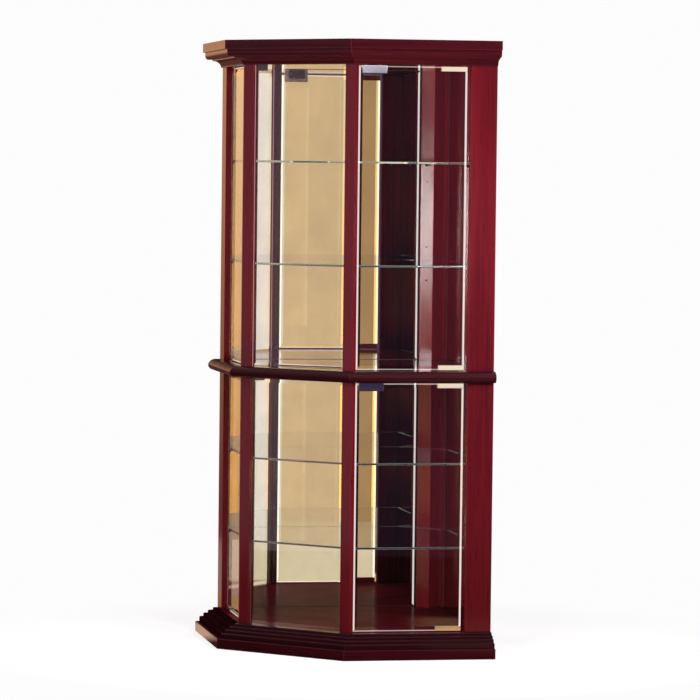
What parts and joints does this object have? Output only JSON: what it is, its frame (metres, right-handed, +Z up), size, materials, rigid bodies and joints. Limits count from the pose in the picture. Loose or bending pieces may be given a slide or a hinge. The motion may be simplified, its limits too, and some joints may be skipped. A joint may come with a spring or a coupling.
{
  "type": "corner curio cabinet",
  "caption": "Glazed corner display cabinet with canted sides, stepped cornice, waist and base mouldings, frameless glass doors on pivots, glass shelves and mirrored backs.",
  "frame": {"origin": "centre of the bounding box on the floor", "axes": "+Z up, the centre pane faces -Y, the room corner is at +Y, +X to the right seen from the front; symmetric about X = 0"},
  "size_m": [1.0626, 0.8068, 1.75],
  "materials": {
    "lacquered_wood": "dark cherry stain under a gloss lacquer",
    "back_board": "plain hardboard",
    "silvered_mirror": "bevelled mirror glass",
    "clear_glass": "clear glass with a ground and polished bevel",
    "shelf_glass": "clear glass with polished edges",
    "polished_brass": "polished",
    "polished_chrome": "polished",
    "black_plastic": "matt black",
    "zinc_screws": "zinc plated"
  },
  "bodies": {
    "case": {"outer_stile_left": "lacquered_wood", "outer_stile_right": "lacquered_wood", "front_post_left": "lacquered_wood", "front_post_right": "lacquered_wood", "cornice_left": "lacquered_wood", "cornice_right": "lacquered_wood", "waist_moulding_left": "lacquered_wood", "waist_moulding_right": "lacquered_wood", "base_moulding_left": "lacquered_wood", "base_moulding_right": "lacquered_wood", "plinth_left": "lacquered_wood", "plinth_right": "lacquered_wood", "back_panel_left": "back_board", "back_panel_right": "back_board", "lower_mirror_left": "silvered_mirror", "lower_mirror_right": "silvered_mirror", "upper_mirror_left": "silvered_mirror", "upper_mirror_right": "silvered_mirror", "corner_board": "lacquered_wood", "bottom_board": "lacquered_wood", "waist_board": "lacquered_wood", "ceiling_board": "lacquered_wood", "top_board": "lacquered_wood", "base_rails": "lacquered_wood", "cornice_rails": "lacquered_wood", "cornice_centre": "lacquered_wood", "waist_moulding_centre": "lacquered_wood", "base_moulding_centre": "lacquered_wood", "plinth_centre": "lacquered_wood", "centre_pane_lower": "clear_glass", "centre_pane_upper": "clear_glass", "glazing_beads": "lacquered_wood", "lower_shelf_1": "shelf_glass", "lower_shelf_2": "shelf_glass", "upper_shelf_1": "shelf_glass", "upper_shelf_2": "shelf_glass", "shelf_pins": "black_plastic", "pivot_bushes": "polished_brass", "latch_housings": "black_plastic", "screws": "zinc_screws"},
    "lower_door_left": {"lower_door_glass_left": "clear_glass", "lower_hinge_clips_left": "polished_brass", "lower_strike_plate_left": "polished_chrome"},
    "upper_door_left": {"upper_door_glass_left": "clear_glass", "upper_hinge_clips_left": "polished_brass", "upper_strike_plate_left": "polished_chrome"},
    "lower_door_right": {"lower_door_glass_right": "clear_glass", "lower_hinge_clips_right": "polished_brass", "lower_strike_plate_right": "polished_chrome"},
    "upper_door_right": {"upper_door_glass_right": "clear_glass", "upper_hinge_clips_right": "polished_brass", "upper_strike_plate_right": "polished_chrome"},
    "lower_plunger_left": {"lower_latch_plunger_left": "black_plastic"},
    "upper_plunger_left": {"upper_latch_plunger_left": "black_plastic"},
    "lower_plunger_right": {"lower_latch_plunger_right": "black_plastic"},
    "upper_plunger_right": {"upper_latch_plunger_right": "black_plastic"}
  },
  "joints": [
    {"name": "lower_door_left_swing", "type": "hinge", "parent": "case", "child": "lower_door_left", "pos_m": [-0.40472, -0.10095, 0.426], "axis": [0, 0, -1], "range_deg": [0, 105]},
    {"name": "upper_door_left_swing", "type": "hinge", "parent": "case", "child": "upper_door_left", "pos_m": [-0.40472, -0.10095, 1.247], "axis": [0, 0, -1], "range_deg": [0, 105]},
    {"name": "lower_door_right_swing", "type": "hinge", "parent": "case", "child": "lower_door_right", "pos_m": [0.40472, -0.10095, 0.426], "axis": [0, 0, 1], "range_deg": [0, 105]},
    {"name": "upper_door_right_swing", "type": "hinge", "parent": "case", "child": "upper_door_right", "pos_m": [0.40472, -0.10095, 1.247], "axis": [0, 0, 1], "range_deg": [0, 105]},
    {"name": "lower_latch_left_press", "type": "slide", "parent": "case", "child": "lower_plunger_left", "axis": [0.7071, 0.7071, 0], "range_m": [0, 0.004], "stiffness_N_per_m": 400},
    {"name": "upper_latch_left_press", "type": "slide", "parent": "case", "child": "upper_plunger_left", "axis": [0.7071, 0.7071, 0], "range_m": [0, 0.004], "stiffness_N_per_m": 400},
    {"name": "lower_latch_right_press", "type": "slide", "parent": "case", "child": "lower_plunger_right", "axis": [-0.7071, 0.7071, 0], "range_m": [0, 0.004], "stiffness_N_per_m": 400},
    {"name": "upper_latch_right_press", "type": "slide", "parent": "case", "child": "upper_plunger_right", "axis": [-0.7071, 0.7071, 0], "range_m": [0, 0.004], "stiffness_N_per_m": 400}
  ]
}
